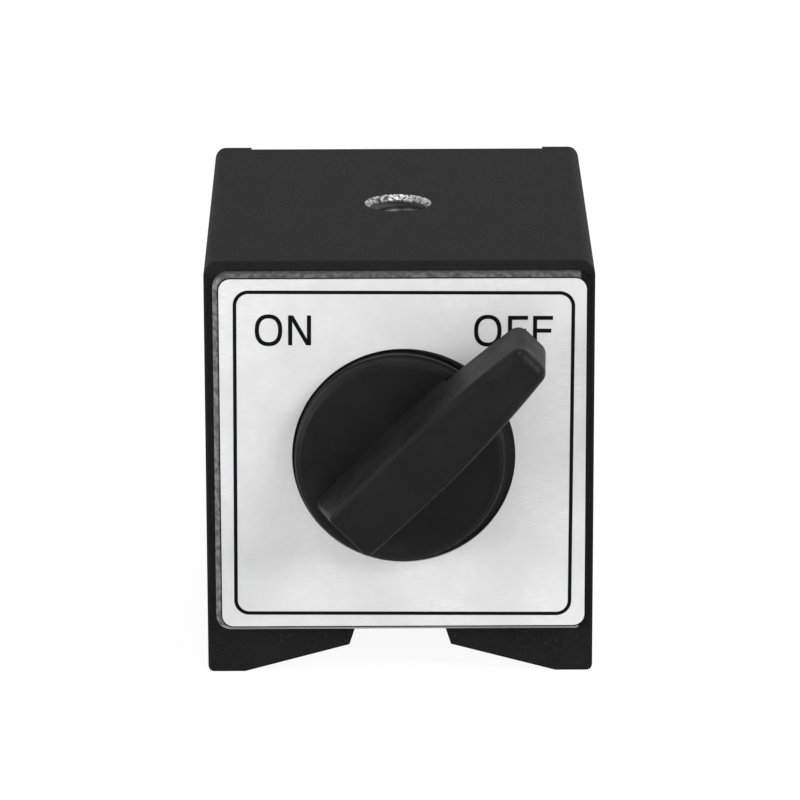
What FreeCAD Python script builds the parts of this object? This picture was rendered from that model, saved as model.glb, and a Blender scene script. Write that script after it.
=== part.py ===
"""Switchable magnetic base: two steel pole shoes, a magnet rotor in a cross bore and a lever knob.

Millimetres. X is to the right, Y runs from the knob to the rear, Z is up.
The origin is at the middle of the whole object's footprint, on the surface that it stands on.
The knob is modelled in the OFF position, with its lever up and to the right.
"""
import FreeCAD, Part
import math
import os

# Body block
body_width = 50.0
body_length = 60.0
body_height = 55.0
top_edge_radius = 1.7
front_top_radius = 1.8
foot_edge_radius = 0.8
face_edge_radius = 0.4

# Feet, V groove and relief channel under the body
foot_width = 4.8
groove_apex_half = 6.6
groove_apex_height = 3.65
channel_taper_deg = 18.0
channel_height = 7.0

# Cross bore for the rotor, a little above the body's middle
axis_rise = 2.5
bore_radius = 14.5
running_clearance = 0.08
end_play = 0.1

# Non-magnetic filler between the pole shoes, above the bore
top_spacer_width = 12.0

# Tapped hole for the stand's column
stud_hole_radius = 4.0
stud_sink = 0.4
stud_floor = 1.0
drill_point_deg = 118.0
drill_flat_radius = 2.6

# Rear recess and rear cover
rear_recess_width = 40.0
rear_recess_depth = 1.3
rear_cover_thickness = 1.2
rear_cover_bottom = 6.0
rear_cover_top_margin = 1.0
rear_cover_corner = 1.0
rear_side_clearance = 0.2
rear_screw_inset_x = 3.3
rear_screw_inset_z = 5.0

# Front cover, with its margins from the body's sides and top
cover_left_margin = 1.17
cover_right_margin = 0.6
cover_top_margin = 0.93
cover_bottom = 6.22
cover_thickness = 1.7
cover_corner = 1.9
cover_bevel = 0.5
cover_screw_inset = 4.1
window_gap = 0.83
window_x = 0.5
window_drop = 0.04
window_step = 0.12

# Dial plate, with its insets from the front cover's edges
dial_left_inset = 0.8
dial_right_inset = 0.56
dial_top_inset = 0.55
dial_bottom_inset = 0.66
dial_thickness = 0.3
dial_corner = 1.5

# Knob: flange behind the cover, disc in the window, lever on the disc
flange_lip = 3.5
flange_thickness = 2.5
disc_radius = 13.5
disc_rim_height = 1.8
disc_face_height = 2.7
disc_shoulder = 0.8
disc_edge_in = 0.22
disc_edge_rise = 0.6
lever_angle_deg = 44.7
lever_height = 14.3
lever_half_width = 3.88
lever_tip_half_width = 2.52
lever_tail_half_width = 3.6
lever_taper_start = 4.0
lever_tip_reach = 23.8
lever_tail_reach = 9.3
lever_side_draft_deg = 1.3
lever_tip_draft_deg = 1.5
lever_tail_lean_deg = 12.0
lever_underside_height = 4.4
lever_root_inset = 1.0
lever_tip_corner = 1.6
lever_tail_corner = 0.8
lever_edge_radius = 0.6
lever_tip_edge_radius = 1.6
tongue_length = 18.0
tongue_width = 5.0
tongue_depth = 2.8
tongue_clearance = 0.1

# Travel stop: a pin in the front cover and a notch in the knob's flange
turn_deg = 90.0
stop_pin_radius = 1.0
stop_pin_inset = 1.0
stop_pin_angle_deg = 180.0
stop_pin_reach = 2.0
stop_pin_chamfer = 0.25
stop_end_clearance = 0.3
stop_floor_clearance = 0.15

# Rotor: two soft-iron segments, three magnet blocks and two end caps
rotor_air_gap = 0.2
rotor_segment_height = 7.8
magnet_corner_gap = 0.7
magnet_count = 3
end_cap_thickness = 5.0
cap_screw_x = 4.5
cap_screw_wall = 1.85
slot_floor_clearance = 0.2

# Thrust washer between the rotor and the rear cover
washer_thickness = 1.1
washer_play = 0.3
washer_outer_radius = 12.0
washer_inner_radius = 7.0

# M3 screws
screw_radius = 1.5
screw_length = 8.0
screw_clearance = 0.05
sunk_head_radius = 2.8
pan_head_radius = 2.75
pan_head_height = 1.6
pan_head_bevel = 0.7
recess_arm_length = 3.0
recess_arm_width = 0.6
recess_depth = 1.0
tapped_extra_depth = 1.0

# Largest difference at which two places count as the same
tolerance = 0.0001

# Places along Y, worked out from the sizes above
front_stack = cover_thickness + dial_thickness + lever_height
rear_stack = rear_cover_thickness - rear_recess_depth + pan_head_height
front_face = front_stack - (body_length + front_stack + rear_stack) / 2
rear_face = front_face + body_length
recess_face = rear_face - rear_recess_depth
cover_face = front_face - cover_thickness
dial_face = cover_face - dial_thickness
flange_front = front_face + end_play
flange_back = flange_front + flange_thickness
counterbore_floor = flange_back + end_play
rotor_front = flange_back + end_cap_thickness
rear_cap_back = recess_face - washer_thickness - washer_play
rotor_rear = rear_cap_back - end_cap_thickness
magnet_length = (rotor_rear - rotor_front) / magnet_count

# Widths and heights, worked out from the sizes above
side_x = body_width / 2
axis_height = body_height / 2 + axis_rise
bore_top = axis_height + bore_radius
drill_point = (stud_hole_radius - drill_flat_radius) / math.tan(math.radians(drill_point_deg / 2))
stud_hole_depth = body_height - bore_top - stud_floor - drill_point
groove_half_width = side_x - foot_width
channel_rise = channel_height - groove_apex_height
channel_top_half = groove_apex_half - channel_rise * math.tan(math.radians(channel_taper_deg))
rear_cover_width = rear_recess_width - 2 * rear_side_clearance
rear_cover_height = body_height - rear_cover_top_margin - rear_cover_bottom
rear_cover_z = rear_cover_bottom + rear_cover_height / 2
cover_width = body_width - cover_left_margin - cover_right_margin
cover_height = body_height - cover_top_margin - cover_bottom
cover_x = (cover_left_margin - cover_right_margin) / 2
cover_z = cover_bottom + cover_height / 2
window_radius = disc_radius + window_gap
window_z = axis_height - window_drop
dial_width = cover_width - dial_left_inset - dial_right_inset
dial_height = cover_height - dial_top_inset - dial_bottom_inset
dial_x = cover_x + (dial_left_inset - dial_right_inset) / 2
dial_z = cover_z + (dial_bottom_inset - dial_top_inset) / 2
flange_radius = disc_radius + flange_lip
counterbore_radius = flange_radius + running_clearance
disc_face_radius = disc_radius - disc_shoulder
lever_root_radius = disc_radius - lever_root_inset
stop_pin_orbit = flange_radius - stop_pin_inset
rotor_radius = bore_radius - rotor_air_gap
end_cap_radius = bore_radius - running_clearance
magnet_thickness = 2 * (rotor_radius - rotor_segment_height)
magnet_width = 2 * (math.sqrt(rotor_radius ** 2 - (magnet_thickness / 2) ** 2) - magnet_corner_gap)
screw_hole_radius = screw_radius + screw_clearance
cap_screw_rise = magnet_thickness / 2 + screw_hole_radius + cap_screw_wall

UP = FreeCAD.Vector(0, 0, 1)
REARWARD = FreeCAD.Vector(0, 1, 0)


def vec(x, y, z):
    """Short form of a vector."""
    return FreeCAD.Vector(x, y, z)


def line(a, b):
    """Straight edge."""
    return Part.LineSegment(a, b).toShape()


def arc(a, via, b):
    """Circular edge through three points."""
    return Part.Arc(a, via, b).toShape()


def rod(radius, y_start, y_end, x=0.0, z=axis_height):
    """Solid cylinder along Y."""
    return Part.makeCylinder(radius, y_end - y_start, vec(x, y_start, z), REARWARD)


def block(x_limits, y_limits, z_limits):
    """Solid box between pairs of limits."""
    size = [limits[1] - limits[0] for limits in (x_limits, y_limits, z_limits)]
    return Part.makeBox(size[0], size[1], size[2], vec(x_limits[0], y_limits[0], z_limits[0]))


def along_y(edges, y_start, y_end):
    """Extrude a closed outline that lies in the plane y = y_start."""
    face = Part.Face(Part.Wire(edges))
    return face.extrude(vec(0, y_end - y_start, 0))


def turned(profile, x, z):
    """Revolve (radius, y) points about the line along Y through x and z."""
    points = [vec(x + radius, y, z) for radius, y in profile]
    face = Part.Face(Part.makePolygon(points + points[:1]))
    return face.revolve(vec(x, 0, z), REARWARD, 360)


def plate(width, height, corner, x, z, y_start, y_end):
    """Flat plate with rounded corners, standing across Y."""
    limits_x = (x - width / 2, x + width / 2)
    limits_z = (z - height / 2, z + height / 2)
    solid = block(limits_x, (y_start, y_end), limits_z)
    thickness = abs(y_end - y_start)
    corners = [edge for edge in solid.Edges if abs(edge.BoundBox.YLength - thickness) < tolerance]
    return solid.makeFillet(corner, corners)


def edges_at_y(solid, y):
    """Edges that lie in one plane across Y."""
    found = []
    for edge in solid.Edges:
        box = edge.BoundBox
        if abs(box.YMin - y) < tolerance and abs(box.YMax - y) < tolerance:
            found.append(edge)
    return found


def four_places(x, z, half_x, half_z):
    """Corners of a rectangle about a middle."""
    return [(x + side * half_x, z + rise * half_z) for side in (-1, 1) for rise in (-1, 1)]


def cover_screw_places():
    """Middles of the four front cover screws."""
    half_x = cover_width / 2 - cover_screw_inset
    half_z = cover_height / 2 - cover_screw_inset
    return four_places(cover_x, cover_z, half_x, half_z)


def rear_screw_places():
    """Middles of the four rear cover screws."""
    half_x = rear_cover_width / 2 - rear_screw_inset_x
    half_z = rear_cover_height / 2 - rear_screw_inset_z
    return four_places(0, rear_cover_z, half_x, half_z)


def cap_screw_places():
    """Middles of the four screws in each rotor end cap."""
    return four_places(0, axis_height, cap_screw_x, cap_screw_rise)


def holes(places, radius, y_start, y_end):
    """Group of equal holes along Y."""
    return Part.makeCompound([rod(radius, y_start, y_end, x, z) for x, z in places])


def cross_recess(x, y_start, y_end, z):
    """Cross-shaped driver recess."""
    long_half = recess_arm_length / 2
    short_half = recess_arm_width / 2
    upright = block((x - short_half, x + short_half), (y_start, y_end), (z - long_half, z + long_half))
    level = block((x - long_half, x + long_half), (y_start, y_end), (z - short_half, z + short_half))
    return upright.fuse(level)


def sunk_screw(x, z, y_head, way):
    """Countersunk screw whose head is flush with y_head and whose shank runs the given way along Y."""
    cone = sunk_head_radius - screw_radius
    profile = [
        (0, y_head),
        (sunk_head_radius, y_head),
        (screw_radius, y_head + way * cone),
        (screw_radius, y_head + way * screw_length),
        (0, y_head + way * screw_length),
    ]
    screw = turned(profile, x, z)
    limits = sorted((y_head, y_head + way * recess_depth))
    return screw.cut(cross_recess(x, limits[0], limits[1], z))


def sunk_hole(x, z, y_head, way, depth):
    """Clearance hole with a countersink for a sunk screw."""
    wide = sunk_head_radius + screw_clearance
    profile = [
        (0, y_head),
        (wide, y_head),
        (screw_hole_radius, y_head + way * (wide - screw_hole_radius)),
        (screw_hole_radius, y_head + way * depth),
        (0, y_head + way * depth),
    ]
    return turned(profile, x, z)


def pan_screw(x, z):
    """Pan head screw with a bevelled head, seated on the rear cover's back."""
    seat = recess_face + rear_cover_thickness
    crown = seat + pan_head_height
    tip = seat - screw_length
    profile = [
        (0, crown),
        (pan_head_radius - pan_head_bevel, crown),
        (pan_head_radius, crown - pan_head_bevel),
        (pan_head_radius, seat),
        (screw_radius, seat),
        (screw_radius, tip),
        (0, tip),
    ]
    return turned(profile, x, z).cut(cross_recess(x, crown - recess_depth, crown, z))


def body_outline(y):
    """Outline of the whole body across Y, with the V groove and channel open below."""
    top_bend = top_edge_radius * (1 - math.sqrt(0.5))
    foot_bend = foot_edge_radius * (1 - math.sqrt(0.5))
    edges = []
    for side in (-1, 1):
        top_in = vec(side * (side_x - top_edge_radius), y, body_height)
        top_mid = vec(side * (side_x - top_bend), y, body_height - top_bend)
        top_out = vec(side * side_x, y, body_height - top_edge_radius)
        foot_out = vec(side * side_x, y, foot_edge_radius)
        foot_mid = vec(side * (side_x - foot_bend), y, foot_bend)
        foot_in = vec(side * (side_x - foot_edge_radius), y, 0)
        groove_foot = vec(side * groove_half_width, y, 0)
        apex = vec(side * groove_apex_half, y, groove_apex_height)
        ceiling = vec(side * channel_top_half, y, channel_height)
        edges.append(line(vec(0, y, body_height), top_in))
        edges.append(arc(top_in, top_mid, top_out))
        edges.append(line(top_out, foot_out))
        edges.append(arc(foot_out, foot_mid, foot_in))
        edges.append(line(foot_in, groove_foot))
        edges.append(line(groove_foot, apex))
        edges.append(line(apex, ceiling))
        edges.append(line(ceiling, vec(0, y, channel_height)))
    return Part.__sortEdges__(edges)


def side_profile():
    """The body's outline seen from the side, rounded at the top of both ends, as a prism across X."""
    ends = ((front_face, 1, front_top_radius), (rear_face, -1, face_edge_radius))
    edges = [line(vec(-side_x, front_face, 0), vec(-side_x, rear_face, 0))]
    tops = []
    for y, inward, radius in ends:
        bend = radius * (1 - math.sqrt(0.5))
        low = vec(-side_x, y, body_height - radius)
        mid = vec(-side_x, y + inward * bend, body_height - bend)
        high = vec(-side_x, y + inward * radius, body_height)
        edges.append(line(vec(-side_x, y, 0), low))
        edges.append(arc(low, mid, high))
        tops.append(high)
    edges.append(line(tops[0], tops[1]))
    face = Part.Face(Part.Wire(Part.__sortEdges__(edges)))
    return face.extrude(vec(body_width, 0, 0))


def plan_profile():
    """The body's outline seen from above, with its upright edges eased, as a prism along Z."""
    solid = block((-side_x, side_x), (front_face, rear_face), (0, body_height))
    upright = [edge for edge in solid.Edges if edge.BoundBox.ZLength > body_height / 2]
    return solid.makeFillet(face_edge_radius, upright)


def body_cavities():
    """Bore, knob counterbore, rear recess and every hole in the body."""
    bore = rod(bore_radius, front_face, rear_face)
    counterbore = rod(counterbore_radius, front_face, counterbore_floor)
    recess_x = rear_recess_width / 2
    recess = block((-recess_x, recess_x), (recess_face, rear_face), (0, body_height))
    front_depth = screw_length - cover_thickness + tapped_extra_depth
    front_holes = holes(cover_screw_places(), screw_hole_radius, front_face, front_face + front_depth)
    rear_depth = screw_length - rear_cover_thickness + tapped_extra_depth
    rear_holes = holes(rear_screw_places(), screw_hole_radius, recess_face - rear_depth, recess_face)
    return [bore, counterbore, recess, front_holes, rear_holes, stud_hole()]


def stud_hole():
    """Blind hole for the column's thread, with its drill point and a countersink."""
    y = (front_face + rear_face) / 2
    floor = body_height - stud_hole_depth
    sink_radius = stud_hole_radius + stud_sink
    sink_floor = vec(0, y, body_height - stud_sink)
    drill_tip = vec(0, y, floor - drill_point)
    straight = Part.makeCylinder(stud_hole_radius, stud_hole_depth, vec(0, y, floor), UP)
    mouth = Part.makeCone(stud_hole_radius, sink_radius, stud_sink, sink_floor, UP)
    drill = Part.makeCone(drill_flat_radius, stud_hole_radius, drill_point, drill_tip, UP)
    return straight.fuse(mouth).fuse(drill)


def body_blank():
    """Solid body: its front, side and plan outlines crossed, then every cavity cut."""
    blank = along_y(body_outline(front_face), front_face, rear_face)
    blank = blank.common(side_profile()).common(plan_profile())
    for cavity in body_cavities():
        blank = blank.cut(cavity)
    return blank


def body_parts():
    """Split the body into two pole shoes and the fillers above and below the bore."""
    blank = body_blank()
    lengths = (front_face, rear_face)
    top_half = top_spacer_width / 2
    upper = block((-top_half, top_half), lengths, (axis_height, body_height))
    lower = block((-channel_top_half, channel_top_half), lengths, (channel_height, axis_height))
    left = block((-side_x, 0), lengths, (0, body_height)).cut(upper).cut(lower)
    right = block((0, side_x), lengths, (0, body_height)).cut(upper).cut(lower)
    return {
        "left_pole_shoe": blank.common(left),
        "right_pole_shoe": blank.common(right),
        "top_spacer": blank.common(upper),
        "bottom_spacer": blank.common(lower),
    }


def front_cover():
    """Cast cover with a window for the knob, countersunk holes and a hole for the stop pin."""
    cover = plate(cover_width, cover_height, cover_corner, cover_x, cover_z, cover_face, front_face)
    cover = cover.makeChamfer(cover_bevel, edges_at_y(cover, cover_face))
    cover = cover.cut(rod(window_radius + window_step, cover_face, front_face, window_x, window_z))
    for x, z in cover_screw_places():
        cover = cover.cut(sunk_hole(x, z, cover_face, 1, cover_thickness))
    x, z = stop_pin_place()
    return cover.cut(rod(stop_pin_radius, cover_face, front_face, x, z))


def stop_pin_place():
    """Middle of the stop pin across Y."""
    angle = math.radians(stop_pin_angle_deg)
    return stop_pin_orbit * math.cos(angle), axis_height + stop_pin_orbit * math.sin(angle)


def stop_pin():
    """Pin pressed into the front cover, reaching back into the flange's notch."""
    x, z = stop_pin_place()
    pin = rod(stop_pin_radius, cover_face, front_face + stop_pin_reach, x, z)
    tip = edges_at_y(pin, front_face + stop_pin_reach)
    return pin.makeChamfer(stop_pin_chamfer, tip)


def dial_plate():
    """Thin printed plate stuck on the front cover."""
    dial = plate(dial_width, dial_height, dial_corner, dial_x, dial_z, dial_face, cover_face)
    return dial.cut(rod(window_radius, dial_face, cover_face, window_x, window_z))


def rear_cover():
    """Flat sheet cover that lies in the rear recess."""
    back = recess_face + rear_cover_thickness
    cover = plate(rear_cover_width, rear_cover_height, rear_cover_corner, 0, rear_cover_z, recess_face, back)
    return cover.cut(holes(rear_screw_places(), screw_hole_radius, recess_face, back))


def thrust_washer():
    """Flat washer on the rear cover that takes up the rotor's end play."""
    front = recess_face - washer_thickness
    return rod(washer_outer_radius, front, recess_face).cut(rod(washer_inner_radius, front, recess_face))


def magnet(index):
    """One of the magnet blocks that lie in a row along the rotor."""
    start = rotor_front + index * magnet_length
    half_width = magnet_width / 2
    half_thickness = magnet_thickness / 2
    z_limits = (axis_height - half_thickness, axis_height + half_thickness)
    return block((-half_width, half_width), (start, start + magnet_length), z_limits)


def rotor_pole(side):
    """Soft-iron segment above (side 1) or below (side -1) the magnets, tapped at both ends."""
    round_bar = rod(rotor_radius, rotor_front, rotor_rear)
    near = axis_height + side * magnet_thickness / 2
    far = axis_height + side * rotor_radius
    keep = block((-rotor_radius, rotor_radius), (rotor_front, rotor_rear), sorted((near, far)))
    segment = round_bar.common(keep)
    depth = screw_length - end_cap_thickness + tapped_extra_depth
    segment = segment.cut(holes(cap_screw_places(), screw_hole_radius, rotor_front, rotor_front + depth))
    return segment.cut(holes(cap_screw_places(), screw_hole_radius, rotor_rear - depth, rotor_rear))


def front_end_cap():
    """Rotor end cap with countersunk holes and a slot for the knob's tongue."""
    cap = rod(end_cap_radius, flange_back, rotor_front)
    for x, z in cap_screw_places():
        cap = cap.cut(sunk_hole(x, z, flange_back, 1, end_cap_thickness))
    half_length = tongue_length / 2 + tongue_clearance
    half_width = tongue_width / 2 + tongue_clearance
    depth = tongue_depth + slot_floor_clearance
    z_limits = (axis_height - half_width, axis_height + half_width)
    return cap.cut(block((-half_length, half_length), (flange_back, flange_back + depth), z_limits))


def rear_end_cap():
    """Plain rotor end cap with countersunk holes."""
    cap = rod(end_cap_radius, rotor_rear, rear_cap_back)
    for x, z in cap_screw_places():
        cap = cap.cut(sunk_hole(x, z, rear_cap_back, -1, end_cap_thickness))
    return cap


def lever_side(end_x, end_half, half_width, height):
    """Curved side of the lever's plan, level where the lever is widest and drawn in at one end."""
    widest = vec(lever_taper_start, half_width, height)
    bulge = vec((lever_taper_start + end_x) / 2, half_width - (half_width - end_half) / 4, height)
    return arc(vec(end_x, end_half, height), bulge, widest)


def lever_outline(height):
    """Half of the lever's plan at a height above the dial, wider and longer towards its root."""
    drop = lever_height - height
    side_draft = drop * math.tan(math.radians(lever_side_draft_deg))
    half_width = lever_half_width + side_draft
    tip_half = lever_tip_half_width + side_draft
    tail_half = lever_tail_half_width + side_draft
    tip = lever_tip_reach + drop * math.tan(math.radians(lever_tip_draft_deg))
    tail = -lever_tail_reach - drop * math.tan(math.radians(lever_tail_lean_deg))
    edges = [
        line(vec(tail, 0, height), vec(tip, 0, height)),
        line(vec(tip, 0, height), vec(tip, tip_half, height)),
        lever_side(tip, tip_half, half_width, height),
        lever_side(tail, tail_half, half_width, height),
        line(vec(tail, tail_half, height), vec(tail, 0, height)),
    ]
    return Part.Wire(Part.__sortEdges__(edges))


def lever():
    """Lever in its own frame: X towards the tip, Z away from the dial."""
    root = disc_rim_height
    half = Part.makeLoft([lever_outline(root), lever_outline(lever_height)], True, True)
    half = half.makeFillet(lever_tip_corner, tip_corner_edge(half))
    half = half.makeFillet(lever_tail_corner, tail_corner_edge(half))
    half = half.makeFillet(lever_tip_edge_radius, lever_edge_radius, long_top_edge(half))
    whole = half.fuse(half.mirror(vec(0, 0, 0), vec(0, 1, 0))).removeSplitter()
    reach = lever_tip_reach * 2
    below = block((-reach, reach), (-reach, reach), (0, lever_underside_height))
    foot = Part.makeCylinder(lever_root_radius, lever_underside_height)
    return whole.cut(below.cut(foot))


def outer_uprights(half):
    """Upright edges of half the lever that lie away from its middle plane."""
    upright = [edge for edge in half.Edges if edge.BoundBox.ZLength > lever_height / 2]
    return [edge for edge in upright if edge.BoundBox.YMin > lever_tip_half_width / 2]


def tip_corner_edge(half):
    """Upright edge at the outer corner of the lever's tip."""
    return [edge for edge in outer_uprights(half) if edge.BoundBox.XMin > lever_tip_reach / 2]


def tail_corner_edge(half):
    """Upright edge at the outer corner of the lever's tail."""
    return [edge for edge in outer_uprights(half) if edge.BoundBox.XMax < 0]


def long_top_edge(half):
    """Curved top edge along the tapering side of half the lever."""
    top = [edge for edge in half.Edges if edge.BoundBox.ZMin > lever_height - tolerance]
    tapering = [edge for edge in top if edge.BoundBox.XMin > lever_taper_start - tolerance]
    return [edge for edge in tapering if edge.BoundBox.XLength > lever_tip_reach / 2]


def knob_round():
    """Flange and disc, turned about the bore's axis, with a steep and a flat bevel on the disc's rim."""
    rim_y = dial_face - disc_rim_height
    face_y = dial_face - disc_face_height
    profile = [
        (0, face_y),
        (disc_face_radius, face_y),
        (disc_radius - disc_edge_in, rim_y - disc_edge_rise),
        (disc_radius, rim_y),
        (disc_radius, flange_front),
        (flange_radius, flange_front),
        (flange_radius, flange_back),
        (0, flange_back),
    ]
    return turned(profile, 0, axis_height)


def sector(radius, start_deg, end_deg, y_start, y_end):
    """Slice of a disc about the bore's axis, with its angles as seen from the front."""
    def rim(angle_deg):
        angle = math.radians(angle_deg)
        return vec(radius * math.cos(angle), y_start, axis_height + radius * math.sin(angle))
    centre = vec(0, y_start, axis_height)
    first = rim(start_deg)
    last = rim(end_deg)
    edges = [line(centre, first), arc(first, rim((start_deg + end_deg) / 2), last), line(last, centre)]
    return along_y(edges, y_start, y_end)


def flange_notch():
    """Sector cut from the flange's rim, in which the stop pin runs over the whole turn."""
    inner = stop_pin_orbit - stop_pin_radius - stop_floor_clearance
    outer = 2 * flange_radius
    margin = math.degrees(math.asin((stop_pin_radius + stop_end_clearance) / stop_pin_orbit))
    first = stop_pin_angle_deg - turn_deg - margin
    last = stop_pin_angle_deg + margin
    return sector(outer, first, last, flange_front, flange_back).cut(rod(inner, flange_front, flange_back))


def knob():
    """Moulded knob: notched flange, disc, lever and drive tongue in one piece."""
    body = knob_round().cut(flange_notch())
    angle = math.radians(lever_angle_deg)
    across = vec(math.cos(angle), 0, math.sin(angle))
    outward = -REARWARD
    sideways = outward.cross(across)
    frame = FreeCAD.Matrix(
        across.x, sideways.x, outward.x, 0,
        across.y, sideways.y, outward.y, dial_face,
        across.z, sideways.z, outward.z, axis_height,
        0, 0, 0, 1,
    )
    handle = lever()
    handle.transformShape(frame)
    half_length = tongue_length / 2
    half_width = tongue_width / 2
    z_limits = (axis_height - half_width, axis_height + half_width)
    tongue = block((-half_length, half_length), (flange_back, flange_back + tongue_depth), z_limits)
    return body.fuse([handle, tongue]).removeSplitter()


def screw_sets():
    """Every group of equal screws."""
    return {
        "front_cover_screws": [sunk_screw(x, z, cover_face, 1) for x, z in cover_screw_places()],
        "rear_cover_screws": [pan_screw(x, z) for x, z in rear_screw_places()],
        "front_cap_screws": [sunk_screw(x, z, flange_back, 1) for x, z in cap_screw_places()],
        "rear_cap_screws": [sunk_screw(x, z, rear_cap_back, -1) for x, z in cap_screw_places()],
    }


def all_parts():
    """Every node by name."""
    parts = body_parts()
    parts["front_cover"] = front_cover()
    parts["dial_plate"] = dial_plate()
    parts["stop_pin"] = stop_pin()
    parts["rear_cover"] = rear_cover()
    parts["thrust_washer"] = thrust_washer()
    for index, place in enumerate(("front", "middle", "rear")):
        parts["magnet_block_" + place] = magnet(index)
    parts["upper_rotor_pole"] = rotor_pole(1)
    parts["lower_rotor_pole"] = rotor_pole(-1)
    parts["front_end_cap"] = front_end_cap()
    parts["rear_end_cap"] = rear_end_cap()
    parts["knob"] = knob()
    for name, screws in screw_sets().items():
        parts[name] = Part.makeCompound(screws)
    return parts


def main():
    """Write one STEP file for each node."""
    os.makedirs("parts", exist_ok=True)
    for name, shape in sorted(all_parts().items()):
        if not shape.isValid():
            raise RuntimeError(name + " is not a valid shape")
        shape.exportStep(os.path.join("parts", name + ".step"))
        print(name, len(shape.Solids), round(shape.Volume, 2))


main()
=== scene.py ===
"""Looks of a switchable magnetic base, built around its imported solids.

The block, covers, knob and rotor are solids of the frame and get their finishes here. The thread and
bare mouth of the stud hole, the print on the dial and the film under it are made here as meshes.
Everything is in metres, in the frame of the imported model: X right, Y to the rear, Z up.
Levels of colour are linear, where 1 is white.
"""
from __future__ import annotations

import logging
import math
from dataclasses import dataclass, field, replace
from enum import Enum
from typing import Any, Callable, Iterable, Sequence

import bmesh
import bpy
from mathutils import Matrix, Vector


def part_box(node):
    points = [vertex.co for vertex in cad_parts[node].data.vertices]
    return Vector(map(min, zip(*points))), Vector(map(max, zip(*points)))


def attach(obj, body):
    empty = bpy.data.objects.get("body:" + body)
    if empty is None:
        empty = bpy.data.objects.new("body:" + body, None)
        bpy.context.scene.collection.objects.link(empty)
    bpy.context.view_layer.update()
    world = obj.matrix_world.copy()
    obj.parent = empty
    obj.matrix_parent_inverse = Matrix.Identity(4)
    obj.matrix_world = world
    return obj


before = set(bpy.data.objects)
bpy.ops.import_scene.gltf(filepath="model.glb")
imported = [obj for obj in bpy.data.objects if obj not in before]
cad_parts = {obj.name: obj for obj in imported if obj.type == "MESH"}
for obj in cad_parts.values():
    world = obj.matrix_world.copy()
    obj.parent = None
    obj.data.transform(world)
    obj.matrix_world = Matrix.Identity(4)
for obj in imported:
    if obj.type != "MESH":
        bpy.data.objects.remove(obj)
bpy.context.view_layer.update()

MM = 0.001
# Points nearer to each other than this are joined.
SEAM_GAP = 0.0001 * MM
# Band that holds most values of a noise pattern.
MIDDLE = (0.3, 0.7)
CORNER_POINTS = 12
STEPS_PER_TURN = 72
# Half widths of an inner thread's ridge, as shares of the pitch.
FOOT_HALF = 7 / 16
CREST_HALF = 1 / 8
LOG = logging.getLogger("magnetic_base")
Point = tuple[float, float]
Pair = tuple[float, float]
Place = tuple[float, float, float]
Sockets = dict[str, bpy.types.NodeSocket]
MIXED: dict[str, bpy.types.Material] = {}


class Rider(Enum):
    """Body of the frame that the pieces made here move with."""

    BASE = "base"


class Slot(Enum):
    """Two material slots of the record, not used by the pieces made here."""

    FILLER = "filler_metal"
    DIAL = "dial"


class Graph:
    """Short calls for adding and linking the nodes of one tree."""

    def __init__(self, tree: bpy.types.NodeTree) -> None:
        """Take over an empty tree.

        Args:
            tree: Node tree of a material, a world or a geometry group.
        """
        self.tree = tree
        tree.nodes.clear()

    def add(self, kind: str, inputs: dict[Any, Any] | None = None, **settings: Any) -> bpy.types.Node:
        """Add one node.

        Args:
            kind: Blender's type name of the node.
            inputs: Values or output sockets by input name or number.
            **settings: Properties to set on the node before its inputs.

        Returns:
            The new node.
        """
        node = self.tree.nodes.new(kind)
        for name, value in settings.items():
            setattr(node, name, value)
        for key, value in (inputs or {}).items():
            if isinstance(value, bpy.types.NodeSocket):
                self.tree.links.new(value, node.inputs[key])
            else:
                node.inputs[key].default_value = value
        return node

    def maths(self, operation: str, *values: Any) -> bpy.types.NodeSocket:
        """Result of one math operation on numbers or sockets."""
        node = self.add("ShaderNodeMath", dict(enumerate(values)), operation=operation)
        return node.outputs[0]

    def noise(self, where: bpy.types.NodeSocket, size: float, detail: float) -> bpy.types.NodeSocket:
        """Noise pattern.

        Args:
            where: Coordinates to read.
            size: Size of one blotch in metres.
            detail: Octaves of finer pattern.

        Returns:
            The pattern's value, around one half.
        """
        node = self.add("ShaderNodeTexNoise", {"Vector": where, "Scale": 1 / size, "Detail": detail})
        return node.outputs["Fac"]

    def ramp(self, value: Any, source: Pair, target: Pair = (0.0, 1.0)) -> bpy.types.NodeSocket:
        """Map a value from one range to another, clamped and smooth at both ends.

        Args:
            value: Output socket to map.
            source: Values at which the ramp starts and ends.
            target: Results at those two values.

        Returns:
            The mapped value.
        """
        inputs = {"Value": value, "From Min": source[0], "From Max": source[1]}
        inputs |= {"To Min": target[0], "To Max": target[1]}
        node = self.add("ShaderNodeMapRange", inputs, interpolation_type="SMOOTHSTEP")
        return node.outputs["Result"]

    def blend(self, factor: Any, first: Any, second: Any) -> bpy.types.NodeSocket:
        """Mix two colours by a factor.

        Args:
            factor: Share of the second colour, a number or a socket.
            first: First colour, as a value or a socket.
            second: Second colour, as a value or a socket.

        Returns:
            The mixed colour.
        """
        node = self.add("ShaderNodeMix", data_type="RGBA")
        wanted = (("Factor", "VALUE", factor), ("A", "RGBA", first), ("B", "RGBA", second))
        for name, kind, value in wanted:
            socket = next(s for s in node.inputs if s.name == name and s.type == kind)
            if isinstance(value, bpy.types.NodeSocket):
                self.tree.links.new(value, socket)
            else:
                socket.default_value = value
        return next(s for s in node.outputs if s.type == "RGBA")

    def bump(self, height: Any, distance: float, strength: float) -> bpy.types.NodeSocket:
        """Normal that a height pattern of the given depth gives."""
        node = self.add("ShaderNodeBump", {"Height": height, "Distance": distance, "Strength": strength})
        return node.outputs["Normal"]


def grey(level: float, warmth: float = 0.0) -> tuple[float, float, float, float]:
    """Linear grey with a slight shift between red and blue."""
    return (level * (1 + warmth), level, level * (1 - warmth), 1.0)


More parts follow.
